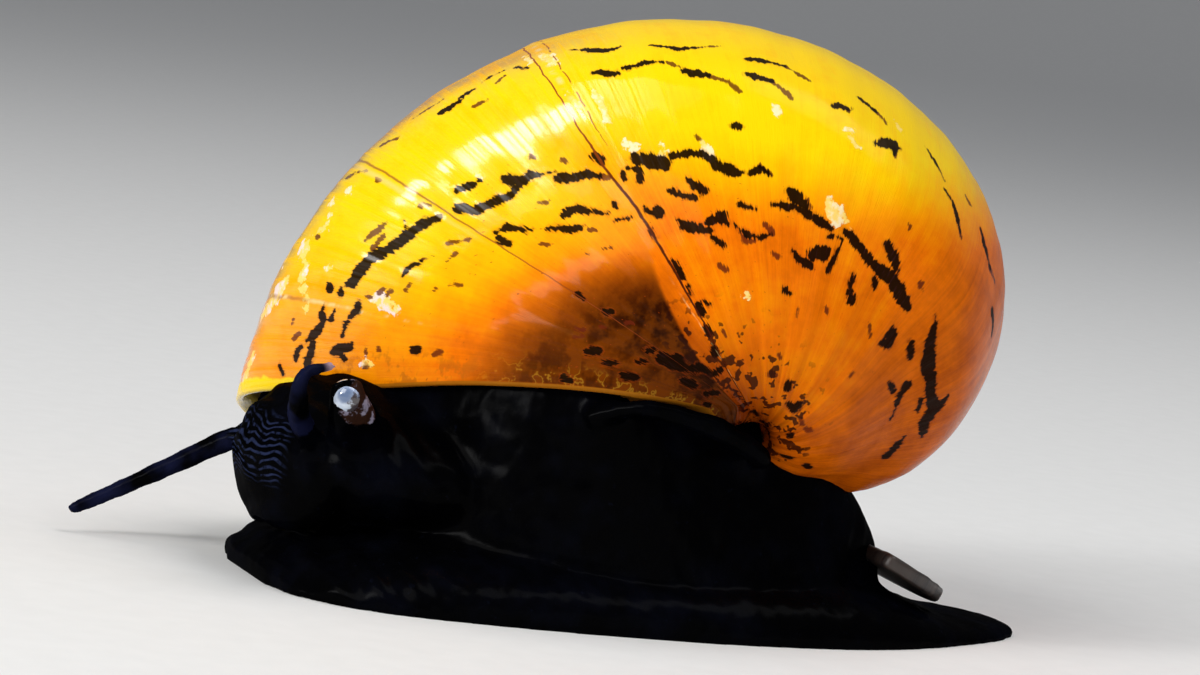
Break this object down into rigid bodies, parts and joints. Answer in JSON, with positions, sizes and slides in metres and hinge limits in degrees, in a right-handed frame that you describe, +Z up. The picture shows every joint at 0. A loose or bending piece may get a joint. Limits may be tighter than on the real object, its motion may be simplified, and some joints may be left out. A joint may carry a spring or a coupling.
{
  "type": "nerite snail",
  "caption": "Nerite snail crawling with its globe shell tilted over a spread foot, head low, both tentacles out.",
  "frame": {"origin": "on the floor under the middle of the foot", "axes": "+Z up, head towards -Y, the animal's left side towards +X"},
  "size_m": [0.0202, 0.0312, 0.0191],
  "materials": {
    "shell": "glossy amber shell with dark dashes and fine growth lines",
    "flesh": "wet black skin with fine wrinkles",
    "eye": "clear wet pale blue",
    "operculum": "satin grey-brown plate with growth arcs"
  },
  "bodies": {
    "root": {"shell": "shell", "mantle": "flesh", "body": "flesh", "head": "flesh", "snout": "flesh", "foot_front": "flesh", "foot_middle": "flesh", "foot_rear": "flesh", "operculum": "operculum", "tentacle_left_base": "flesh", "tentacle_left_tip": "flesh", "tentacle_right_base": "flesh", "tentacle_right_middle": "flesh", "tentacle_right_tip": "flesh", "eyestalk_left": "flesh", "eye_left": "eye", "eyestalk_right": "flesh", "eye_right": "eye"}
  },
  "joints": []
}
